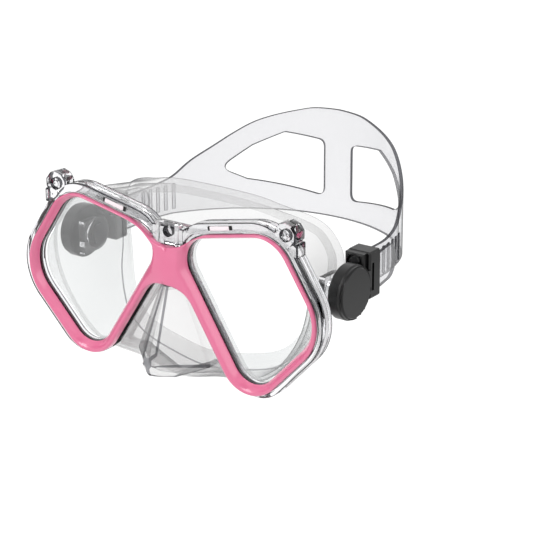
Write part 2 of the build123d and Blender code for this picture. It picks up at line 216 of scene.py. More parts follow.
def addNode(tree, kind, inputs=None, links=None, **settings):
    node = tree.nodes.new("ShaderNode" + kind)
    for name, value in settings.items():
        setattr(node, name, value)
    for name, value in (inputs or {}).items():
        node.inputs[name].default_value = value
    for name, socket in (links or {}).items():
        tree.links.new(socket, node.inputs[name])
    return node


def newMaterial(name):
    material = bpy.data.materials.new(name)
    material.use_nodes = True
    material.node_tree.nodes.clear()
    return material, material.node_tree


def surfaceOut(tree, socket):
    addNode(tree, "OutputMaterial", links={"Surface": socket})


def mixShaders(tree, share, first, second):
    return addNode(tree, "MixShader", links={0: share, 1: first, 2: second}).outputs[0]


def mixColours(tree, inputs, links):
    return addNode(tree, "Mix", inputs, links, data_type="RGBA").outputs["Result"]


def principled(tree, inputs, links=None):
    return addNode(tree, "BsdfPrincipled", inputs, links).outputs[0]


def surfaceNoise(tree, settings):
    # fine noise over the surface, as a share for its tone and as a bump
    place = addNode(tree, "TexCoord").outputs["Object"]
    share = addNode(
        tree, "TexNoise", {"Scale": settings["noise"], "Detail": settings["detail"]},
        {"Vector": place}).outputs["Fac"]
    bump = addNode(
        tree, "Bump", {"Strength": settings["bump"], "Distance": settings["bumpDepth"]},
        {"Height": share})
    return share, bump.outputs["Normal"]


def letLampsThrough(tree, shader, tint):
    # lamps shine through the piece, so that it casts no black shadow
    path = addNode(tree, "LightPath")
    clear = addNode(tree, "BsdfTransparent", {"Color": tint})
    return mixShaders(tree, path.outputs["Is Shadow Ray"], shader, clear.outputs[0])


def glossPink():
    # injection-moulded ABS off a polished tool: even colour, sharp white highlight, faint flow
    settings = {
        "light": "E4759B", "dark": "DB6C91", "roughness": 0.2, "coat": 0.35,
        "coatRoughness": 0.06, "noise": 55.0, "detail": 2.0, "bump": 0.05, "bumpDepth": 0.0004}
    material, tree = newMaterial("polishedPinkPlastic")
    share, normal = surfaceNoise(tree, settings)
    tone = mixColours(
        tree, {"A": toLinear(settings["dark"]), "B": toLinear(settings["light"])},
        {"Factor": share})
    surfaceOut(tree, principled(
        tree, {"Roughness": settings["roughness"], "IOR": 1.5, "Coat Weight": settings["coat"],
         "Coat Roughness": settings["coatRoughness"]},
        {"Base Color": tone, "Normal": normal}))
    return material


def edgeTintAndPaintedShade(tree, face, edge, start, end, inside=None):
    # painted shade: clear plastic is painted darker edge on, partly for light that comes a long
    # way through it, partly for the dark lines at its edges
    facing = addNode(tree, "LayerWeight", {"Blend": 0.5}).outputs["Facing"]
    share = addNode(
        tree, "MapRange", {"From Min": start, "From Max": end}, {"Value": facing},
        interpolation_type="SMOOTHSTEP").outputs[0]
    tint = mixColours(tree, {"A": toLinear(face), "B": toLinear(edge)}, {"Factor": share})
    if inside:
        # seen from within the plastic the same wall is pale
        turned = addNode(tree, "NewGeometry").outputs["Backfacing"]
        tint = mixColours(tree, {"B": toLinear(inside)}, {"Factor": turned, "A": tint})
    return facing, tint


def clearPolycarbonate():
    # water-clear polycarbonate, polished: bright faces, with near-black painted shade where a wall
    # turns away
    material, tree = newMaterial("clearPolycarbonate")
    _, tint = edgeTintAndPaintedShade(tree, "F7F7F9", "0C0C0E", 0.55, 0.9)
    shader = principled(
        tree, {"Roughness": 0.02, "IOR": 1.5, "Transmission Weight": 1.0}, {"Base Color": tint})
    surfaceOut(tree, letLampsThrough(tree, shader, toLinear("F2F2F4")))
    return material


def lensGlass():
    # tempered float glass: colourless and flat, seen mainly by what it reflects
    material, tree = newMaterial("temperedGlass")
    shader = principled(
        tree, {"Base Color": toLinear("FBFDFD"), "Roughness": 0.0, "IOR": 1.5,
         "Transmission Weight": 1.0})
    surfaceOut(tree, letLampsThrough(tree, shader, toLinear("FAFAFA")))
    return material


def clearSilicone(name, face, edge, start=0.74, veil=0.05, inside=None):
    # soft clear silicone: faces almost vanish under a faint veil, edges are painted into a grey
    # line of shade
    material, tree = newMaterial(name)
    facing, tint = edgeTintAndPaintedShade(tree, face, edge, start, 0.99, inside)
    clear = addNode(tree, "BsdfTransparent", links={"Color": tint}).outputs[0]
    skin = principled(tree, {"Roughness": 0.16, "IOR": 1.41}, {"Base Color": tint})
    share = addNode(
        tree, "MapRange", {"To Min": veil, "To Max": 0.3},
        {"Value": facing}).outputs[0]
    surfaceOut(tree, mixShaders(tree, share, clear, skin))
    return material


def satinBlack():
    # filled nylon from a finely eroded tool: deep black under a broad, soft highlight
    settings = {
        "noise": 1800.0, "detail": 3.0, "bump": 0.12, "bumpDepth": 0.0001}
    material, tree = newMaterial("satinBlackPlastic")
    _, normal = surfaceNoise(tree, settings)
    inputs = {"Base Color": toLinear("070708"), "Roughness": 0.32, "IOR": 1.42}
    surfaceOut(tree, principled(tree, inputs, {"Normal": normal}))
    return material


def plainMaterial(name, colour, inputs):
    material, tree = newMaterial(name)
    surfaceOut(tree, principled(tree, {"Base Color": toLinear(colour), **inputs}))
    return material


def dress(piece, *materials, pick=None):
    # a piece with several materials takes, face by face, the one whose number pick gives
    piece.data.materials.clear()
    for material in materials:
        piece.data.materials.append(material)
    for face in piece.data.polygons if pick else []:
        face.material_index = int(pick(face))


finishes = {
    "pink": glossPink(),
    "clear": clearPolycarbonate(),
    "glass": lensGlass(),
    # name, face, edge, where the edge starts, veil, and the tint seen from within
    "skirt": clearSilicone("clearSkirtSilicone", "F4F4F4", "4C4C50"),
    "strap": clearSilicone("clearStrapSilicone", "F3F3F4", "3E3E42", 0.8),
    # painted shade: the four darker materials below go on edges, grooves and hollows of the clear
    # parts to paint their dark lines
    "strapPaintedEdgeShade": clearSilicone("clearStrapPaintedEdgeShade", "6C6C70", "2C2C2E", 0.3, 0.2),
    "skirtPaintedEdgeShade": clearSilicone("clearSkirtPaintedEdgeShade", "A0A0A3", "4A4A4D", 0.3, 0.1),
    "clearPaintedShade": clearSilicone("clearPolycarbonatePaintedShade", "5E5E62", "0C0C0D", 0.3, 0.08),
    "clearPaintedDeepShade": clearSilicone(
        "clearPolycarbonatePaintedDeepShade", "1E1E20", "060606", 0.2, 0.1, "C8C8CC"),
    "black": satinBlack(),
    # nearly white, with a trace of pink, for the block in each snap window
    "pale": plainMaterial("palePinkPlastic", "F4E9ED", {"Roughness": 0.3, "IOR": 1.5}),
    # turned steel of the roller pins: light grey, with a highlight drawn along the bar
    "steel": plainMaterial("turnedStainlessSteel", "C9CBCD", {"Roughness": 0.28, "Metallic": 1.0}),
    # blackened steel of the pivot posts: dark mirror with a soft, slightly blue sheen
    "blackSteel": plainMaterial("blackOxideSteel", "2A2A2E", {"Roughness": 0.35, "Metallic": 1.0}),
}
clearSet = [finishes[name] for name in ("clear", "clearPaintedShade", "clearPaintedDeepShade")]
skirtSet = [finishes[name] for name in ("skirt", "skirtPaintedEdgeShade")]


# the lens outline is shared by the bezel, the frame and the skirt
lensShape = {
    "corners": [(2.3, 10.9), (56.9, 22.1), (81.5, -15.8), (43.9, -55.5)],
    "radii": [11.5, 15.3, 19.0, 11.8],
    "perCorner": 20,
    "perSide": 20,
}
lensCorners = lensShape["corners"]


def grown(corners, margins):
    # corners of the outline once each side has moved out by its margin
    lines = []
    for i, (x0, z0) in enumerate(corners):
        x1, z1 = corners[(i + 1) % len(corners)]
        length = math.hypot(x1 - x0, z1 - z0)
        nx, nz = -(z1 - z0) / length, (x1 - x0) / length
        lines.append((nx, nz, nx * x0 + nz * z0 + margins[i]))
    moved = []
    for i in range(len(corners)):
        (a, b, c), (d, e, f) = lines[i - 1], lines[i]
        det = a * e - b * d
        moved.append(((c * e - b * f) / det, (a * f - c * d) / det))
    return moved


def flipped(line):
    return [(-x, z) for x, z in line]


def cornerWays(corners, i):
    # a corner, the ways back and on from it, and half the angle between them
    corner = Vector(corners[i])
    back = (Vector(corners[i - 1]) - corner).normalized()
    on = (Vector(corners[(i + 1) % len(corners)]) - corner).normalized()
    return corner, back, on, back.angle(on) / 2


def lensRing(margins, depths):
    # ring of points round the lens, with a margin and a depth for each side
    margins = margins if isinstance(margins, list) else [margins] * 4
    depths = depths if isinstance(depths, list) else [depths] * 4
    corners = grown(lensCorners, margins)
    arcs = []
    for i in range(4):
        radius = lensShape["radii"][i] + (margins[i - 1] + margins[i]) / 2
        corner, back, on, half = cornerWays(corners, i)
        centre = corner + (back + on).normalized() * radius / math.sin(half)
        start = corner + back * radius / math.tan(half) - centre
        end = corner + on * radius / math.tan(half) - centre
        sweep = start.angle(end)
        count = lensShape["perCorner"]
        arc = []
        for k in range(count):
            share = k / (count - 1)
            weight = (math.sin((1 - share) * sweep), math.sin(share * sweep))
            spot = centre + (start * weight[0] + end * weight[1]) / math.sin(sweep)
            depth = depths[i - 1] * (1 - share) + depths[i] * share
            arc.append((spot.x, depth, spot.y))
        arcs.append(arc)
    ring = []
    for i, arc in enumerate(arcs):
        ring += arc
        start, end = arc[-1], arcs[(i + 1) % 4][0]
        for k in range(1, lensShape["perSide"] + 1):
            share = k / (lensShape["perSide"] + 1)
            ring.append(tuple(a * (1 - share) + b * share for a, b in zip(start, end)))
    return ring


bezelShape = {
    "rim": [2.4, 3.0, 4.1, 4.9], "depth": 4.0, "outerRadius": 1.1,
    "dish": 3.6, "dishWidth": 3.4, "dishShare": 0.8, "dishPower": 1.6,
    "bridgeTop": 7.1, "bridgeArch": -9.4, "bridgeEnd": 24.0, "bridgeLow": -19.0,
    "bridgeSteps": 30, "topHold": 9.0, "browHold": 11.0,
    "bridgeBulge": 2.2, "bulgeLead": 1.0, "bulgeFade": 14.0, "bulgeHalf": 13.0,
    "rows": [0, 0.05, 0.12, 0.2, 0.28, 0.36, 0.44, 0.52, 0.6, 0.68, 0.76, 0.83, 0.89, 0.94,
             0.98, 1],
    "seam": 0.05, "openDepth": 0.5, "smooth": 50,
}


def bezelBoundary():
    # upper and lower edge of the nose bridge, each from the middle out to the rim
    s = bezelShape
    top, arch, steps = s["bridgeTop"], s["bridgeArch"], s["bridgeSteps"]
    corners = grown(lensCorners, s["rim"])
    brow = Vector(corners[1]) - Vector(corners[0])
    brow = brow / brow.length
    landing = Vector(corners[0]) + brow * (s["bridgeEnd"] - corners[0][0]) / brow.x
    knots = [
        Vector((0, top)), Vector((s["topHold"], top)), landing - brow * s["browHold"], landing]
    upper = []
    for k in range(steps + 1):
        t = k / steps
        upper.append(
            knots[0] * (1 - t) ** 3 + knots[1] * 3 * t * (1 - t) ** 2
            + knots[2] * 3 * t * t * (1 - t) + knots[3] * t ** 3)
    nose = (Vector(corners[3]) - Vector(corners[0])).normalized()
    foot = Vector(corners[0])
    reach = (foot.y - arch) / -nose.y
    across = foot.x + nose.x * reach
    radius = across / ((1 - nose.x ** 2) ** 0.5 - (1 - nose.x) * nose.x / -nose.y)
    lower = []
    for k in range(steps + 1):
        turn = math.acos(nose.x) * k / steps
        lower.append(Vector((radius * math.sin(turn), arch - radius * (1 - math.cos(turn)))))
    return [tuple(p) for p in upper], [tuple(p) for p in lower]


def hitDistance(start, normal, line):
    # how far a point is from a line along its normal, or None where it misses the line
    best = None
    for (x0, z0), (x1, z1) in zip(line, line[1:]):
        dx, dz = x1 - x0, z1 - z0
        det = normal[0] * -dz + normal[1] * dx
        if abs(det) < 1e-9:
            continue
        rx, rz = x0 - start[0], z0 - start[1]
        reach = (rx * -dz + rz * dx) / det
        share = (normal[0] * rz - normal[1] * rx) / det
        if reach > 0.2 and -tiny <= share <= 1 + tiny and (best is None or reach < best):
            best = reach
    return best


def farFrom(points, line):
    # distance of each point from the nearest piece of a line
    line = np.array(line)
    starts, ways = line[:-1], line[1:] - line[:-1]
    best = np.full(len(points), 1e9)
    for start, along, square in zip(starts, ways, (ways ** 2).sum(1)):
        share = np.clip(((points - start) @ along) / max(square, 1e-12), 0, 1)
        gap = np.hypot(*(points - start - share[:, None] * along).T)
        best = np.minimum(best, gap)
    return best


def eased(share):
    return share * share * (3 - 2 * share)


def bezelEdge(inner, outer):
    # outer edge of one half: the rim, cut short by the bridge and by the middle plane
    s = bezelShape
    upper, lower = bezelBoundary()
    middle = [(0, s["bridgeTop"]), (0, s["bridgeArch"])]
    edge = []
    for start, end in zip(inner, outer):
        normal = Vector((end[0] - start[0], end[1] - start[1]))
        far = normal.length
        if start[0] < s["bridgeEnd"] and start[1] > s["bridgeLow"]:
            aim = normal / normal.length
            hits = [hitDistance(start, aim, line) for line in (upper, middle, lower)]
            far = min((hit for hit in hits if hit is not None), default=far)
        normal = normal.normalized()
        edge.append((start[0] + normal.x * far, start[1] + normal.y * far))
    for corner in middle:
        nearest = min(range(len(edge)), key=lambda k: math.dist(edge[k], corner))
        edge[nearest] = corner
    return [(max(x, 0.0), z) for x, z in edge]


def freeEdge(edge):
    # the part of the edge that is not in the middle plane
    first = next(k for k in range(len(edge)) if edge[k][0] <= tiny < edge[k - 1][0])
    ordered = edge[first:] + edge[:first]
    last = max(k for k in range(len(ordered)) if ordered[k][0] <= tiny)
    return ordered[last:] + ordered[:1]


def bezelRings(front, back):
    s = bezelShape
    radius, top, arch = s["outerRadius"], s["bridgeTop"], s["bridgeArch"]
    inner = [(x, z) for x, _, z in lensRing(0, 0)]
    edge = bezelEdge(inner, [(x, z) for x, _, z in lensRing(s["rim"], 0)])
    innerLine, outerLine = inner + inner[:1], freeEdge(edge)
    rings = []
    for share in s["rows"]:
        flat = np.array([(a[0] + (b[0] - a[0]) * share, a[1] + (b[1] - a[1]) * share)
                         for a, b in zip(inner, edge)])
        fromInner, fromOuter = farFrom(flat, innerLine), farFrom(flat, outerLine)
        width = np.minimum(s["dishWidth"], (fromInner + fromOuter) * s["dishShare"])
        slope = np.clip(1 - fromInner / width, 0, 1) ** s["dishPower"] * s["dish"]
        away = np.minimum(fromOuter, radius)
        edgeDrop = radius - np.sqrt(np.maximum(radius ** 2 - (radius - away) ** 2, 0))
        x, z = flat.T
        lead = s["bulgeLead"]
        down = eased(np.clip((top + lead - z) / (top - arch + lead), 0, 1))
        below = np.clip((arch - z) / s["bulgeFade"], 0, 1)
        aside = eased(np.clip(1 - np.abs(x) / s["bulgeHalf"], 0, 1))
        bulge = s["bridgeBulge"] * down * (1 - below) * aside
        rings.append(list(zip(x, front + edgeDrop + slope - bulge, z)))
    return [[(x, back, z) for x, _, z in rings[0]]] + rings


def makeBezel():
    s = bezelShape
    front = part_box("front_bezel")[0].y / mm + s["bridgeBulge"]
    back = front + s["depth"]
    half = skinRings("bezelHalf", bezelRings(front, back))
    applyModifier(half, "MIRROR", use_axis=(True, False, False), merge_threshold=s["seam"] * mm)
    tidyMesh(half)
    # the open outer edge goes back to the seat in the frame
    editAll(half, "DESELECT")
    bpy.context.tool_settings.mesh_select_mode = (False, True, False)
    mesh = bmesh.from_edit_mesh(half.data)
    for e in mesh.edges:
        depth = max(v.co.y for v in e.verts) / mm
        if len(e.link_faces) == 1 and depth < back - s["openDepth"]:
            e.select_set(True)
    bmesh.update_edit_mesh(half.data)
    bpy.ops.mesh.extrude_edges_indiv()
    mesh = bmesh.from_edit_mesh(half.data)
    for v in mesh.verts:
        if v.select:
            v.co.y = back * mm
    # and the back is closed between the outer edge and the two lens openings
    for e in mesh.edges:
        e.select_set(len(e.link_faces) == 1)
    bmesh.update_edit_mesh(half.data)
    bpy.ops.mesh.fill()
    leaveEdit()
    bpy.context.tool_settings.mesh_select_mode = (True, False, False)
    half.name = half.data.name = "bezel"
    tidyMesh(half)
    smoothByAngle(half, s["smooth"])
    return half


bezel = makeBezel()
dress(bezel, finishes["pink"])
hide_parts("front_bezel")
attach(bezel, "mask")
report("bezel made")


frameShape = {
    "outer": [7.3, 6.2, 6.5, 4.5],
    "seat": [2.7, 3.3, 4.4],
    "seatDepth": 2.5,
    "plateDepth": 9.0,
    "glassLap": 1.8,
    "glassDepth": 5.7,
    # inset and depth of each row down the outer wall, with its two grooves
    "wall": [(0, 2.8), (0.7, 3.2), (0.7, 4.2), (0, 4.6), (0, 6.4), (0.7, 6.8), (0.7, 7.4),
             (0.2, 7.8)],
    "paintedShadeRows": [3, 6, 10, 13, 17, 21], "noseRows": [4, 13], "noseReach": 3.4, "smooth": 28,
}


def frameRings(front):
    # section of the frame, from the bezel's seat over the border and back to the seat; the second
    # margin and depth are those at the nose
    outer, seat, lap = frameShape["outer"], frameShape["seat"], frameShape["glassLap"]
    floor, back = front + frameShape["seatDepth"], front + frameShape["plateDepth"]
    ledge = front + frameShape["glassDepth"]
    noseOut = outer[3]

    def border(margins, noseMargin, depth, noseDepth):
        return lensRing(margins + [noseMargin], [depth] * 3 + [noseDepth])

    def wall(inset, depth):
        return lensRing([m - inset for m in outer], depth)

    return [
        border(seat, noseOut - 0.9, front + 0.3, floor),
        border([m + 0.4 for m in seat], noseOut - 0.5, front, floor),
        border([m - 0.9 for m in outer[:3]], noseOut - 0.2, front, floor + 0.05),
        border([m - 0.25 for m in outer[:3]], noseOut - 0.05, front + 0.25, floor + 0.2),
        border(outer[:3], noseOut, front + 0.9, floor + 0.5),
        *[wall(inset, front + depth) for inset, depth in frameShape["wall"]],
        wall(0.2, back - 0.5), wall(1.0, back), lensRing(0.7, back), lensRing(0, back - 0.7),
        lensRing(0, ledge + 0.5), lensRing(0.5, ledge), lensRing(lap, ledge), lensRing(lap, floor),
        border(seat, noseOut - 1.2, floor, floor), border(seat, noseOut - 0.9, front + 0.3, floor),
    ]


def sideWall(face):
    return abs(face.normal.y) < 0.5


hornShape = {
    "out": 4.3, "down": 5.0, "radius": 5.9, "depth": 7.5, "bevel": 0.9,
    "hollow": 2.9, "hollowDepth": 3, "peg": 1.5, "pegStart": 0.4, "pegEnd": 4, "pegBevel": 0.4,
    "lugLow": (1.5, 0.2, -9.5), "lugHigh": (6.4, 7.0, -3.0), "lugBevel": 0.7,
}


def makeHorn(front):
    # round horn at the temple corner, with a peg in its hollow and a lug below it
    s = hornShape
    x, z = grown(lensCorners, frameShape["outer"])[1]
    x, z = x + s["out"], z - s["down"]

    def bar(name, radius, start, end, vertices, *bevel):
        return barrel(name, radius, (x, front + start, z), (x, front + end, z), vertices, *bevel)

    horn = bar("horn", s["radius"], 0, s["depth"], 10, s["bevel"], 2)
    hollow = bar("hornHollow", s["hollow"], -1, s["hollowDepth"], 12)
    # painted shade: the hollow's side wall and the horn's bevels facing out and forward take the
    # dark clear material
    dress(hollow, *clearSet, pick=sideWall)
    dress(horn, *clearSet, pick=lambda face: face.normal.x > 0.3 and abs(face.normal.y) > 0.3)
    combine(horn, hollow, "DIFFERENCE")
    combine(horn, bar("hornPeg", s["peg"], s["pegStart"], s["pegEnd"], 16, s["pegBevel"]))
    low, high = [(x + a, front + b, z + c) for a, b, c in (s["lugLow"], s["lugHigh"])]
    lug = block("hornLug", low, high, s["lugBevel"], 2)
    # painted shade: the lug's bevels take the dark clear material
    dress(lug, *clearSet, pick=lambda face: max(abs(v) for v in face.normal) < 0.97)
    combine(horn, lug)
    return horn


armShape = {
    "x": 65.5, "thick": 3.0, "radius": 8.0, "hole": 7.4, "behind": 2,
    "rootOut": 12.0, "rootAhead": 17.5,
}


def pivotSpot():
    low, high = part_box("pivot_post_left")
    return (low.y + high.y) / 2 / mm, (low.z + high.z) / 2 / mm


def makeArm():
    # side arm: a blade that runs from the frame back to an eye round the pivot
    s = armShape
    inner, outer, radius = s["x"], s["x"] + s["thick"], s["radius"]
    y, z = pivotSpot()
    arm = block("arm", (inner, y - radius - s["behind"], z - radius), (outer, y, z + radius))
    editAll(arm, "DESELECT")
    mesh = bmesh.from_edit_mesh(arm.data)
    for face in mesh.faces:
        face.select_set(face.normal.y < -0.9)
    bmesh.update_edit_mesh(arm.data)
    bpy.ops.mesh.extrude_region_move(
        TRANSFORM_OT_translate={"value": (s["rootOut"] * mm, -s["rootAhead"] * mm, 0)})
    leaveEdit()
    combine(arm, barrel("armEye", radius, (inner, y, z), (outer, y, z), 64))
    bore = barrel("armBore", s["hole"], (inner - 1, y, z), (outer + 1, y, z))
    combine(arm, bore, "DIFFERENCE")
    return arm


centreShape = {
    "upper": [(-9, 0.6, 7.6), (9, 9.0, 17.0)], "upperBevel": 1.4,
    "lower": [(-8.6, 2.6, -5.2), (8.6, 8.8, 9)], "lowerBevel": 0.6,
    "ribX": 5.2, "ribRadius": 2.0, "ribDepth": 2.2, "ribSpan": (7.9, 18.2), "ribBevel": 0.5,
    "dimple": 2.6, "dimpleZ": 14.4, "dimpleDepth": 4.5,
}


def addCentre(half, front):
    # centre block over the nose, with two upright ribs and a dimple
    s = centreShape
    # painted shade: the upper block's bevels, the lower block's sides and the dimple's wall take
    # the dark clear material
    for name, part, segments, dark in (
            ("centre", "upper", 3, lambda face: max(abs(v) for v in face.normal) < 0.8),
            ("centreLower", "lower", 2, lambda face: abs(face.normal.x) > 0.9)):
        low, high = [(x, front + y, z) for x, y, z in s[part]]
        piece = block(name, low, high, s[part + "Bevel"], segments)
        dress(piece, *clearSet, pick=dark)
        combine(half, piece)
    for x in (-s["ribX"], s["ribX"]):
        ends = [(x, front + s["ribDepth"], z) for z in s["ribSpan"]]
        combine(half, barrel("centreRib", s["ribRadius"], *ends, 12, s["ribBevel"], 2))
    ends = [(0, front + y, s["dimpleZ"]) for y in (-1, s["dimpleDepth"])]
    dimple = barrel("centreDimple", s["dimple"], *ends, 16)
    dress(dimple, *clearSet, pick=sideWall)
    combine(half, dimple, "DIFFERENCE")


def makeClearFrame():
    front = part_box("frame")[0].y / mm
    rings = frameRings(front)
    half = skinRings("frameHalf", rings)
    noseEnd, noseStart = lensCorners[3], lensCorners[0]
    noseNormal = Vector((noseStart[1] - noseEnd[1], noseEnd[0] - noseStart[0])).normalized()
    firstRow, lastRow = frameShape["noseRows"]

    def strip(face):
        # painted shade: dark lines on some rows all the way round, in the grooves, along edges and
        # beside the bezel, and a deeper painted shade over the whole wall beside the nose
        row = face.index // len(rings[0])
        flat = Vector((face.center.x / mm - noseStart[0], face.center.z / mm - noseStart[1]))
        if firstRow <= row <= lastRow and flat @ noseNormal < -frameShape["noseReach"]:
            return 2
        return row in frameShape["paintedShadeRows"]

    dress(half, *clearSet, pick=strip)
    tidyMesh(half)
    combine(half, makeHorn(front))
    combine(half, makeArm())
    combine(half, mirroredCopy(half, "frameTwin"))
    addCentre(half, front)
    half.name = half.data.name = "clearFrame"
    smoothByAngle(half, frameShape["smooth"])
    return half


bushShape = {
    "radius": 7.37, "span": (65.3, 68.6), "bevel": 0.4, "bore": 3.04, "boreSpan": (60, 75),
}


def makeBush(name, side):
    # black bearing bush pressed into the eye of the side arm
    s = bushShape
    y, z = pivotSpot()
    bush = barrel(name, s["radius"], *[(side * x, y, z) for x in s["span"]], bevel=s["bevel"])
    bore = barrel("bushBore", s["bore"], *[(side * x, y, z) for x in s["boreSpan"]])
    combine(bush, bore, "DIFFERENCE")
    smoothByAngle(bush)
    dress(bush, finishes["black"])
    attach(bush, "mask")


clearFrame = makeClearFrame()
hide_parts("frame")
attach(clearFrame, "mask")


snapShape = {
    "margin": 5.2, "along": 36.0, "length": 10.5, "gap": 1.3, "height": 0.95,
    "gapRise": 0.2, "tabRise": 0.45, "depth": 1.2, "bevel": 0.25,
}


def makeSnapWindow(name, centre, along):
    # nearly white block in each snap window, with black blocks at its ends as painted shade in the
    # gaps
    s = snapShape
    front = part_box("frame")[0].y / mm
    turn = math.atan2(along[1], along[0])
    pieces = []
    for part, finish, reach, rise in (
            ("PaintedGapShade", "black", s["length"] / 2 + s["gap"], s["gapRise"]),
            ("Tab", "pale", s["length"] / 2, s["tabRise"])):
        low = (-reach, front - rise, -s["height"])
        high = (reach, front + s["depth"], s["height"])
        piece = block(name + part, low, high, s["bevel"], 2)
        for vertex in piece.data.vertices:
            x, z = vertex.co.x, vertex.co.z
            vertex.co.x = x * math.cos(turn) - z * math.sin(turn) + centre[0] * mm
            vertex.co.z = x * math.sin(turn) + z * math.cos(turn) + centre[1] * mm
        dress(piece, finishes[finish])
        pieces.append(piece)
    window = joinPieces(pieces, name)
    smoothByAngle(window)
    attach(window, "mask")


brow = [Vector(corner) for corner in grown(lensCorners, [snapShape["margin"]] * 4)]
browWay = (brow[1] - brow[0]).normalized()
for name, side in (("snapWindowLeft", 1), ("snapWindowRight", -1)):
    spot = brow[0] + browWay * snapShape["along"]
    makeSnapWindow(name, (side * spot.x, spot.y), (browWay.x, side * browWay.y))
makeBush("bushLeft", 1)
makeBush("bushRight", -1)
report("clear frame made")


def flatPlate(name, outlines, thickness, edge):
    # plate cut from flat outlines, with rounded edges
    curve = bpy.data.curves.new(name, "CURVE")
    curve.dimensions = "2D"
    curve.fill_mode = "BOTH"
    for outline in outlines:
        spline = curve.splines.new("POLY")
        spline.points.add(len(outline) - 1)
        for point, (x, y) in zip(spline.points, outline):
            point.co = (x * mm, y * mm, 0, 1)
        spline.use_cyclic_u = True
    curve.extrude = (thickness / 2 - edge) * mm
    curve.bevel_depth = edge * mm
    curve.bevel_resolution = 2
    curve.offset = -edge * mm
    plate = bpy.data.objects.new(name, curve)
    bpy.context.collection.objects.link(plate)
    makeActive(plate)
    bpy.ops.object.convert(target="MESH")
    plate = newPiece(name)
    tidyMesh(plate, fineWeld)
    return plate


def smoothLine(points, count, closed=False):
    # smooth curve through points, in count steps from each point to the next
    points = [Vector(p) for p in points]
    n = len(points)
    pick = (lambda i: points[i % n]) if closed else (lambda i: points[min(max(i, 0), n - 1)])
    line = []
    for i in range(n if closed else n - 1):
        a, b, c, d = pick(i - 1), pick(i), pick(i + 1), pick(i + 2)
        for k in range(count):
            t = k / count
            line.append(
                (b * 2 + (c - a) * t + (a * 2 - b * 5 + c * 4 - d) * t * t
                 + (b * 3 - a - c * 3 + d) * t ** 3) / 2)
    if not closed:
        line.append(points[-1])
    return line


def roundedOutline(corners, radius, steps=6):
    # closed outline with its corners rounded, less where a side is short
    line = []
    for i in range(len(corners)):
        corner, back, on, half = cornerWays(corners, i)
        sides = [(Vector(corners[i - 1]) - corner).length,
                 (Vector(corners[(i + 1) % len(corners)]) - corner).length]
        cut = min(radius / math.tan(half), 0.45 * min(sides))
        for k in range(steps + 1):
            t = k / steps
            line.append(corner + back * cut * (1 - t) ** 2 + on * cut * t * t)
    return [(p.x, p.y) for p in line]


skirtShape = {
    "wall": 1.9,
    "centre": -14.0,
    "depths": [-35.5, -22.0, -12.0, 4.0],
    "sections": [
        [(0, 15.0), (20, 17.5), (42, 21.5), (58, 20.5), (69, 8), (72, -9), (67, -26),
         (54, -43), (41, -50.5), (22, -52.5), (0, -57.0)],
        [(0, 22.0), (20, 22.5), (38, 23.5), (52, 20.5), (61, 13), (64.6, 2), (64.6, -10),
         (61.5, -26), (53, -42.5), (40.5, -51), (20, -55.5), (0, -58.5)],
        [(0, 26.0), (20, 25.2), (35, 23.2), (48, 20.0), (57, 14.5), (61.8, 4), (62.2, -9),
         (60, -26), (51.5, -42), (40, -51), (20, -56.5), (0, -59.0)],
        [(0, 27.0), (20, 26.5), (38, 24.5), (50, 20.5), (58, 13.5), (62.6, 3), (62.4, -9),
         (59, -26), (50, -42), (38, -50.5), (20, -56), (0, -58.5)]],
    "sealSide": 61.5, "sealTemple": 3.5, "sealBrow": -8.0, "cheek": -15.0, "chin": -16.0,
    "lowest": -59.0, "lip": 7.0, "lipShare": 0.65,
    "columns": 180, "rows": 18, "outerStop": 1.6, "innerStop": 3.4, "plateInset": 0.4,
    "edgeRows": [(0.15, 0.8), (0.6, 0.25), (1.4, 0.0)],
}


def sectionLine(points, turns):
    # outline of a section, read at even turns about the middle of the skirt
    full = points + flipped(points[-2:0:-1])
    line = smoothLine(full, 12, closed=True)
    angles = np.array([math.atan2(p.x, p.y - skirtShape["centre"]) for p in line])
    order = np.argsort(angles)
    wrapped = np.concatenate([angles[order] + turn for turn in (-2 * math.pi, 0, 2 * math.pi)])
    columns = [np.array([line[i][axis] for i in order] * 3) for axis in (0, 1)]
    return np.stack([np.interp(turns, wrapped, column) for column in columns], 1)


turns = np.linspace(-math.pi, math.pi, skirtShape["columns"], endpoint=False)
skirtLines = [sectionLine(section, turns) for section in skirtShape["sections"]]


def inwards(line, inset):
    along = np.roll(line, -1, 0) - np.roll(line, 1, 0)
    length = np.hypot(along[:, 0], along[:, 1])[:, None]
    return line + inset * np.stack([along[:, 1], -along[:, 0]], 1) / length


def wallLine(depth):
    # outline of the wall at a depth, on a smooth curve through the four sections
    nodes = skirtShape["depths"]
    total = 0
    for i, node in enumerate(nodes):
        weight = np.ones(len(turns))
        for j, other in enumerate(nodes):
            if j != i:
                weight = weight * (depth - other) / (node - other)
        total = total + skirtLines[i] * weight[:, None]
    return total


def faceDepth(line):
    # depth of the face seal: an arc across the brow, eased into a slope from cheek to chin
    s = skirtShape
    sag = s["sealTemple"] - s["sealBrow"]
    radius = (s["sealSide"] ** 2 + sag ** 2) / (2 * sag)
    arc = s["sealBrow"] + radius - np.sqrt(radius ** 2 - line[:, 0] ** 2)
    rise = (s["sealTemple"] - s["chin"]) / (s["cheek"] - s["lowest"])
    slope = s["sealTemple"] + (line[:, 1] - s["cheek"]) * rise
    return -np.log(np.exp(-arc) + np.exp(-slope))


def edgeLine():
    # where the wall meets the face: each round brings the two closer
    depth = np.zeros(len(turns))
    for _ in range(12):
        line = wallLine(depth)
        depth = faceDepth(line)
    return line, depth


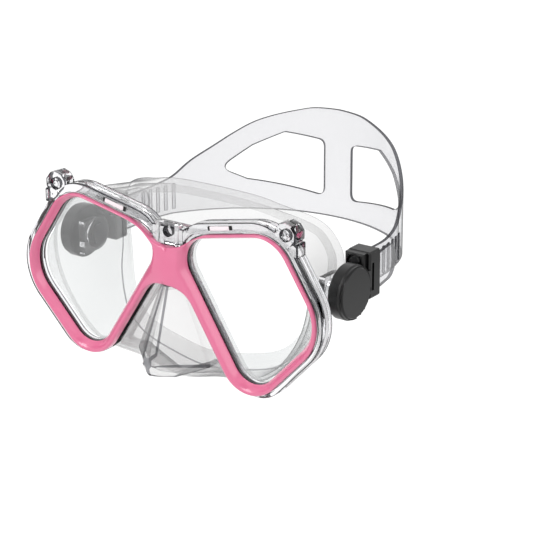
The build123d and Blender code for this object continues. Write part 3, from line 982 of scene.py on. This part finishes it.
def makeChamber():
    s = skirtShape
    wall, front, lip, rows = s["wall"], s["depths"][0], s["lip"], s["rows"]
    edge, edgeDepth = edgeLine()

    def ring(line, depth):
        return [(x, y, z) for (x, z), y in zip(line, depth * np.ones(len(line)))]

    def sealRing(inset, behind):
        line = inwards(edge, inset)
        return ring(line, faceDepth(line) - behind)

    outer, inner = [], []
    for k in range(rows + 1):
        depth = front + (edgeDepth - s["outerStop"] - front) * k / rows
        outer.append(ring(wallLine(depth), depth))
        depth = front + (edgeDepth - s["innerStop"] - front) * k / rows
        inner.append(ring(inwards(wallLine(depth), wall), depth))
    # round the edge, along the seal to its lip, and back on the inside
    outer += [sealRing(inset, short) for inset, short in s["edgeRows"]]
    outer += [sealRing(inset, 0) for inset in (2.8, 4.2, 5.6, lip)]
    for inset in (lip + 0.4, lip - 0.1, 5.6, 4.2, 3.0):
        thick = wall / 2 if inset > lip else wall
        outer.append(sealRing(inset, thick * (s["lipShare"] if inset > 4 else 1)))
    chamber = skinRings("chamber", outer + inner[::-1] + outer[:1])
    # painted shade: a grey line on the row that rounds the seal's edge
    dress(chamber, *skirtSet, pick=lambda face: face.index // len(turns) == rows + 1)
    tidyMesh(chamber)
    return chamber


noseShape = {
    "web": -40.0, "webTop": -7.0, "webLow": -47.3, "clear": 0.8, "back": -33.5,
    "tip": -59.7, "top": -10.8, "round": 2.2, "flatten": 0.8, "paintedShadeWidth": 0.75,
    "rootRadius": 2.0, "sideRadius": 1.5, "radiusLoss": 0.3, "tipRadius": 1.2, "overlap": 2,
    "rootCorners": [(0.3, 4.1), (20.8, -46.7), (0, -56.5), (-20.8, -46.7), (-0.3, 4.1)],
    "tipCorners": [(3.7, -38.6), (3.9, -44.5), (0, -50.5), (-3.9, -44.5), (-3.7, -38.6)],
}


def webCorners(inset):
    # the web between the lenses, clear of the frame on both sides
    corners = grown(lensCorners, frameShape["outer"])
    (topX, topZ), (lowX, lowZ) = corners[0], corners[3]
    half = []
    for z in (noseShape["webTop"] - inset, noseShape["webLow"] + inset):
        x = topX + (lowX - topX) * (z - topZ) / (lowZ - topZ)
        half.append((x - noseShape["clear"] - inset, z))
    return half + flipped(half[::-1])


def acrossFace(piece, face):
    # the longest side of a face that stays at one depth
    spots = [piece.data.vertices[i].co / mm for i in face.vertices]
    level = [(a - b).length for a, b in zip(spots, spots[1:] + spots[:1]) if abs(a.y - b.y) < 1e-4]
    return max(level, default=9.0)


def makeProw(name, inset, back):
    # wedge for the nose, from the root at the web to the rounded tip
    s = noseShape
    root, tip, web, nose = s["rootCorners"], s["tipCorners"], s["web"], s["tip"] + inset

    def section(share, shrink, depth, radius):
        corners = [(a[0] * (1 - share) + b[0] * share, a[1] * (1 - share) + b[1] * share)
                   for a, b in zip(root, tip)]
        corners = grown(corners, [-shrink] * 5)
        return [(x, depth, z) for x, z in roundedOutline(corners, radius, 5)]

    rings = [section(0, inset, back, s["rootRadius"])]
    for k in range(13):
        share = k / 12
        depth = web + (nose + s["round"] - web) * share
        rings.append(section(share, inset, depth, s["sideRadius"] - s["radiusLoss"] * share))
    for k in range(1, 7):
        turn = math.pi / 2 * k / 6
        shrink = inset + s["round"] * (1 - math.cos(turn)) * s["flatten"]
        depth = nose + s["round"] * (1 - math.sin(turn))
        rings.append(section(1, shrink, depth, s["tipRadius"]))
    prow = skinRings(name, rings)
    # painted shade: on the outer prow, the narrow faces at its rounded corners take a grey line
    dark = None if inset else lambda face: acrossFace(prow, face) < s["paintedShadeWidth"]
    dress(prow, *skirtSet, pick=dark)
    editAll(prow)
    bpy.ops.mesh.fill_holes(sides=0)
    bpy.ops.mesh.select_all(action="SELECT")
    bpy.ops.mesh.bisect(
        plane_co=(0, 0, (s["top"] - inset) * mm), plane_no=(0, 0, 1),
        use_fill=True, clear_outer=True)
    leaveEdit()
    tidyMesh(prow)
    return prow


def standUp(plate, depth):
    # the flat plate turns to face forward, with its middle at a depth
    dress(plate, *skirtSet)
    for vertex in plate.data.vertices:
        x, z, y = vertex.co
        vertex.co = (x, depth * mm + y, z)
    tidyMesh(plate, fineWeld)
    return plate


def makeWeb(name, inset, back):
    front = noseShape["web"] + inset
    outline = roundedOutline(webCorners(inset), noseShape["rootRadius"])
    return standUp(flatPlate(name, [outline], back - front, 0.6), (front + back) / 2)


def makeNosePocket():
    wall, back = skirtShape["wall"], noseShape["back"]
    behind = back + noseShape["overlap"]
    pocket = makeProw("nosePocket", 0, back)
    combine(pocket, makeWeb("noseWeb", 0, back))
    combine(pocket, makeProw("noseHollow", wall, behind), "DIFFERENCE")
    combine(pocket, makeWeb("webHollow", wall, behind), "DIFFERENCE")
    tidyMesh(pocket)
    return pocket


def makeSkirtFront():
    # front wall of the skirt, open at both lenses and at the nose
    wall, front = skirtShape["wall"], skirtShape["depths"][0]
    outline = [tuple(p) for p in inwards(skirtLines[0], skirtShape["plateInset"])]
    window = [(x, z) for x, _, z in lensRing(0, 0)]
    upper = webCorners(wall)[:2]
    lower = grown(noseShape["rootCorners"], [-wall] * 5)[1:3]
    half = upper + [(lower[0][0], upper[1][1])] + lower
    hole = roundedOutline(half + flipped(half[-2::-1]), 0.8)
    plate = flatPlate("skirtFront", [outline, window, flipped(window), hole], wall, 0.3)
    return standUp(plate, front + wall / 2)


def makeSkirt():
    skirt = joinPieces([makeChamber(), makeSkirtFront(), makeNosePocket()], "faceSkirt")
    smoothByAngle(skirt)
    return skirt


faceSkirt = makeSkirt()
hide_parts("skirt")
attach(faceSkirt, "mask")
report("skirt made")


strapShape = {
    "side": 67.9, "start": 20.0, "depth": 73.0, "thickness": 1.8,
    "low": -13.25, "high": 3.25,
    "rollerX": 71.1, "rollerY": 8.0, "foldRadius": 3.2,
    "tailTurn": 13.1, "tailEnd": (70.3, 33.0),
    "top": [(0, 38.3), (12.6, 37.6), (20.7, 35.8), (32.6, 32.3), (40.8, 28.8), (48.1, 23.6),
            (54.6, 17.8), (60.5, 12.0)],
    "bottom": -16.6,
    "window": [(8.0, 21.6), (27.5, 24.0), (41.0, 17.0), (52.4, 6.3), (43.0, 0.0), (8.0, -6.6)],
    "scale": 70.0,
    "windowRound": 3.6, "neck": 64.5, "neckTop": 5.6, "edge": 0.35, "spacing": 2.4,
    "ribCount": 5, "ribPitch": 4.6, "ribStart": 26.0, "ribWidth": 1.9, "ribHeight": 0.7,
    "ribInset": 1.7, "ribSink": 0.4, "ribBevel": 0.45,
}
quarter = math.pi / 2 * strapShape["scale"]


def strapSpot(q):
    # place and outward normal at a length q along the strap from its middle
    s = strapShape
    side, d = math.copysign(1, q), abs(q)
    if d <= quarter:
        turn = d / s["scale"]
        spot = (s["side"] * math.sin(turn), s["start"] + s["depth"] * math.cos(turn))
        heading = (s["side"] * math.cos(turn), -s["depth"] * math.sin(turn))
    else:
        d -= quarter
        run, arc = s["start"] - s["rollerY"], math.pi * s["foldRadius"]
        outer = s["rollerX"] + s["foldRadius"]
        lean = Vector(s["tailEnd"]) - Vector((outer, s["tailTurn"]))
        if d <= run:
            spot, heading = (s["side"], s["start"] - d), (0, -1)
        elif d <= run + arc:
            turn = math.pi + (d - run) / s["foldRadius"]
            spot = (s["rollerX"] + s["foldRadius"] * math.cos(turn),
                    s["rollerY"] + s["foldRadius"] * math.sin(turn))
            heading = (-math.sin(turn), math.cos(turn))
        elif d <= run + arc + s["tailTurn"] - s["rollerY"]:
            spot, heading = (outer, s["rollerY"] + d - run - arc), (0, 1)
        else:
            left = d - run - arc - (s["tailTurn"] - s["rollerY"])
            way = lean.normalized()
            spot, heading = (outer + way.x * left, s["tailTurn"] + way.y * left), (way.x, way.y)
    size = math.hypot(*heading)
    normal = (-heading[1] / size, heading[0] / size)
    return side * spot[0], spot[1], side * normal[0], normal[1]


def toPath(x):
    # length along the strap at a distance from the middle plane
    return math.asin(min(x / strapShape["side"], 1.0)) * strapShape["scale"]


def strapOutlines():
    s = strapShape
    lean = math.dist(s["tailEnd"], (s["rollerX"] + s["foldRadius"], s["tailTurn"]))
    end = (quarter + s["start"] - s["rollerY"] + math.pi * s["foldRadius"]
           + s["tailTurn"] - s["rollerY"] + lean)
    neck = toPath(s["neck"])
    top = [(toPath(x), z) for x, z in s["top"]]
    top += [(neck, s["neckTop"]), (neck + 12, s["high"] + 0.2)]
    top = [(p.x, p.y) for p in smoothLine(top, 6)] + [(neck + 16, s["high"])]
    radius = (s["high"] - s["low"]) / 2
    middle = (s["high"] + s["low"]) / 2
    tail = [(end - radius + radius * math.sin(a), middle + radius * math.cos(a))
            for a in np.linspace(0, math.pi, 19)]
    bottom = [(neck * k / 12, s["bottom"] + (s["low"] - s["bottom"]) * (k / 12) ** 2)
              for k in range(12, 0, -1)]
    half = top + tail + bottom
    whole = half + [(0, s["bottom"])] + flipped(half[:0:-1])
    window = roundedOutline([(toPath(x), z) for x, z in s["window"]], s["windowRound"])
    return [whole, window, flipped(window)], end


def strapRib(q):
    s = strapShape
    top, across = s["thickness"] / 2, s["ribWidth"] / 2
    return block(
        "strapRib", (q - across, s["low"] + s["ribInset"], top - s["ribSink"]),
        (q + across, s["high"] - s["ribInset"], top + s["ribHeight"]), s["ribBevel"], 2)


def dressStrap(piece):
    # painted shade: the sides and rounded edges of the strap and its ribs take a dark grey line
    sides = finishes["strap"], finishes["strapPaintedEdgeShade"]
    dress(piece, *sides, pick=lambda face: abs(face.normal.z) < 0.75)


def makeStrap():
    # the strap is cut flat, with its ribs, and then bent round the head and the rollers
    s = strapShape
    outlines, end = strapOutlines()
    strap = flatPlate("headStrap", outlines, s["thickness"], s["edge"])
    editAll(strap)
    count = int(end / s["spacing"])
    for k in range(-count, count + 1):
        bpy.ops.mesh.select_all(action="SELECT")
        bpy.ops.mesh.bisect(plane_co=(k * s["spacing"] * mm, 0, 0), plane_no=(1, 0, 0))
    leaveEdit()
    dressStrap(strap)
    ribs = []
    for k in range(s["ribCount"]):
        q = quarter + s["start"] - s["ribStart"] - k * s["ribPitch"]
        for side in (-1, 1):
            rib = strapRib(side * q)
            dressStrap(rib)
            ribs.append(rib)
    joinPieces([strap] + ribs, "headStrap")
    for vertex in strap.data.vertices:
        q, z, off = (v / mm for v in vertex.co)
        x, y, nx, ny = strapSpot(q)
        vertex.co = Vector((x + nx * off, y + ny * off, z)) * mm
    tidyMesh(strap, fineWeld)
    smoothByAngle(strap)
    return strap


headStrap = makeStrap()
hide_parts("strap")
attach(headStrap, "strap")
report("strap made")


# finishes on the CAD nodes that stay
nodeFinishes = {
    "lens": "glass", "buckle": "black", "face_cap": "black", "release": "black",
    "strap_roller": "black", "pivot": "blackSteel", "retaining": "blackSteel",
    "roller_pin": "steel",
}
for node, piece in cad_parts.items():
    for start, finish in nodeFinishes.items():
        if node.startswith(start):
            dress(piece, finishes[finish])


stage = {
    "floorDrop": 57.0, "floorSize": 8.0, "floorGlow": 1.2, "shadow": 0.3, "sky": 0.6,
    "aim": (0, 0, -0.01),
    # name, place, size and power
    "lamps": [
        ("keyLamp", (-0.5, -0.9, 0.9), 0.6, 7.0),
        ("fillLamp", (1.0, -0.5, 0.6), 0.8, 3.5),
        ("topLamp", (0.0, 0.5, 1.0), 0.8, 4.5)],
    # name, place and size
    "cards": [
        ("cardLeft", (-0.34, -0.05, 0.02), 0.3),
        ("cardRight", (0.3, 0.3, -0.03), 0.36),
        ("cardTop", (-0.05, -0.3, 0.42), 0.22)],
    "azimuth": 35.0, "elevation": 20.0, "camera": (594.7, -809.9, 346.3),
}
white = (1, 1, 1, 1)


def stageShare(tree):
    # 1 where the stage is seen straight, in a reflection or through a clear piece
    path = addNode(tree, "LightPath")
    share = path.outputs["Is Camera Ray"]
    for name in ("Is Glossy Ray", "Is Transmission Ray"):
        share = addNode(
            tree, "Math", links={0: share, 1: path.outputs[name]}, operation="MAXIMUM").outputs[0]
    return share


def makeFloor():
    # matt paper that glows white to the eye, with a soft share of the shadow
    deselectAll()
    low = cadBox[0][2] - stage["floorDrop"] * mm
    bpy.ops.mesh.primitive_plane_add(size=stage["floorSize"], location=(0, 0, low))
    floor = bpy.context.object
    floor.name = "floor"
    material, tree = newMaterial("paperBackdrop")
    matt = addNode(tree, "BsdfDiffuse", {"Color": toLinear("F4F4F4")}).outputs[0]
    glow = addNode(tree, "Emission", {"Color": white, "Strength": stage["floorGlow"]}).outputs[0]
    fade = addNode(
        tree, "Math", {1: 1 - stage["shadow"]}, {0: stageShare(tree)},
        operation="MULTIPLY").outputs[0]
    surfaceOut(tree, mixShaders(tree, fade, matt, glow))
    dress(floor, material)


def makeWorld():
    world = bpy.data.worlds.new("studio")
    bpy.context.scene.world = world
    world.use_nodes = True
    tree = world.node_tree
    tree.nodes.clear()
    share = stageShare(tree)
    soft, full = [
        addNode(tree, "Background", {"Color": white, "Strength": power}).outputs[0]
        for power in (stage["sky"], 1.0)]
    mix = mixShaders(tree, share, soft, full)
    addNode(tree, "OutputWorld", links={"Surface": mix})


def aimed(place):
    aim = Vector(stage["aim"]) - Vector(place)
    return aim.to_track_quat("-Z", "Y").to_euler()


def areaLamp(name, place, size, power):
    lamp = bpy.data.lights.new(name, "AREA")
    lamp.shape, lamp.size, lamp.energy = "SQUARE", size, power
    holder = bpy.data.objects.new(name, lamp)
    bpy.context.collection.objects.link(holder)
    holder.location, holder.rotation_euler = place, aimed(place)


def darkCard(name, place, size):
    # black card out of shot, whose reflection draws the clear edges
    deselectAll()
    bpy.ops.mesh.primitive_plane_add(size=size, location=place)
    card = newPiece(name)
    card.rotation_euler = aimed(place)
    card.visible_camera = card.visible_diffuse = card.visible_shadow = False
    material, tree = newMaterial("blackCard")
    matt = addNode(tree, "BsdfDiffuse", {"Color": toLinear("050505")}).outputs[0]
    surfaceOut(tree, matt)
    dress(card, material)


def makeCamera():
    data = bpy.data.cameras.new("camera")
    camera = bpy.data.objects.new("camera", data)
    bpy.context.collection.objects.link(camera)
    azimuth, elevation = math.radians(stage["azimuth"]), math.radians(stage["elevation"])
    back = Vector((
        math.sin(azimuth) * math.cos(elevation), -math.cos(azimuth) * math.cos(elevation),
        math.sin(elevation)))
    camera.location = Vector(stage["camera"]) * mm
    camera.rotation_euler = (-back).to_track_quat("-Z", "Y").to_euler()
    data.sensor_width = 36.0
    data.lens = 2320 / 551 * data.sensor_width
    data.clip_start, data.clip_end = 0.01, 50.0
    bpy.context.scene.camera = camera


makeFloor()
makeWorld()
for lamp in stage["lamps"]:
    areaLamp(*lamp)
for card in stage["cards"]:
    darkCard(*card)
makeCamera()
bpy.context.scene.view_settings.view_transform = "Standard"
report("stage ready")
